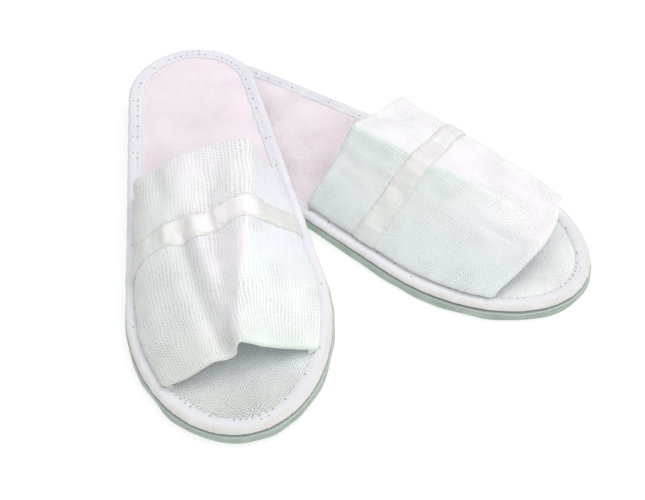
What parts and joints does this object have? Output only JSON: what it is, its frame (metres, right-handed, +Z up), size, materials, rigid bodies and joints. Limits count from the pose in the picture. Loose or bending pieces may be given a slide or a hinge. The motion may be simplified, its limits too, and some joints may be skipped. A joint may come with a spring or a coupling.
{
  "type": "spa slippers",
  "caption": "Pair of open-toe spa slippers with padded fabric uppers crossed by a satin ribbon, taped sole edges and flexible flat soles, one heel resting on the other.",
  "frame": {"origin": "on the floor, under the middle of the pair's bounding box", "axes": "+Z up from the floor, +Y the pair's longest extent, from the toes of the lifted slipper towards both heels, +X towards the toe of the flat slipper"},
  "size_m": [0.2576, 0.2812, 0.0529],
  "materials": {
    "outsole_eva": "pale grey-green closed-cell EVA foam, matt",
    "insole_board": "pressed fibreboard",
    "insole_foam": "white foam sheet",
    "insole_terry": "white low-pile terry",
    "binding_tape": "white brushed tape, folded over the edge",
    "binding_thread": "white polyester thread",
    "upper_terry": "white looped knit",
    "upper_padding": "thin white foam",
    "upper_lining": "white brushed lining",
    "satin_ribbon": "white satin, glossy",
    "ribbon_thread": "cream thread"
  },
  "bodies": {
    "right_rear": {"right_outsole_rear": "outsole_eva", "right_insole_board_rear": "insole_board", "right_insole_foam_rear": "insole_foam", "right_insole_cover_rear": "insole_terry", "right_edge_binding_rear": "binding_tape", "right_binding_thread_rear": "binding_thread", "right_upper_outer": "upper_terry", "right_upper_padding": "upper_padding", "right_upper_lining": "upper_lining", "right_ribbon": "satin_ribbon", "right_ribbon_thread_rear": "ribbon_thread", "right_ribbon_thread_front": "ribbon_thread"},
    "right_toe": {"right_outsole_toe": "outsole_eva", "right_insole_board_toe": "insole_board", "right_insole_foam_toe": "insole_foam", "right_insole_cover_toe": "insole_terry", "right_edge_binding_toe": "binding_tape", "right_binding_thread_toe": "binding_thread"},
    "left_rear": {"left_outsole_rear": "outsole_eva", "left_insole_board_rear": "insole_board", "left_insole_foam_rear": "insole_foam", "left_insole_cover_rear": "insole_terry", "left_edge_binding_rear": "binding_tape", "left_binding_thread_rear": "binding_thread", "left_upper_outer": "upper_terry", "left_upper_padding": "upper_padding", "left_upper_lining": "upper_lining", "left_ribbon": "satin_ribbon", "left_ribbon_thread_rear": "ribbon_thread", "left_ribbon_thread_front": "ribbon_thread"},
    "left_toe": {"left_outsole_toe": "outsole_eva", "left_insole_board_toe": "insole_board", "left_insole_foam_toe": "insole_foam", "left_insole_cover_toe": "insole_terry", "left_edge_binding_toe": "binding_tape", "left_binding_thread_toe": "binding_thread"}
  },
  "joints": [
    {"name": "right_toe_flex", "type": "hinge", "parent": "right_rear", "child": "right_toe", "pos_m": [0.04875, 0.00935, 0.0095], "axis": [-0.6088, -0.7934, 0], "range_deg": [0, 35], "stiffness_Nm_per_rad": 0.3, "deforming": ["right_upper_outer", "right_upper_padding", "right_upper_lining"]},
    {"name": "left_lift", "type": "slide", "parent": "right_rear", "child": "left_rear", "axis": [0, 0, 1], "range_m": [0, 0.12]},
    {"name": "left_toe_flex", "type": "hinge", "parent": "left_rear", "child": "left_toe", "pos_m": [-0.06472, -0.05083, 0.01439], "axis": [-0.9843, -0.1677, -0.054], "range_deg": [0, 35], "stiffness_Nm_per_rad": 0.3, "deforming": ["left_upper_outer", "left_upper_padding", "left_upper_lining"]}
  ]
}
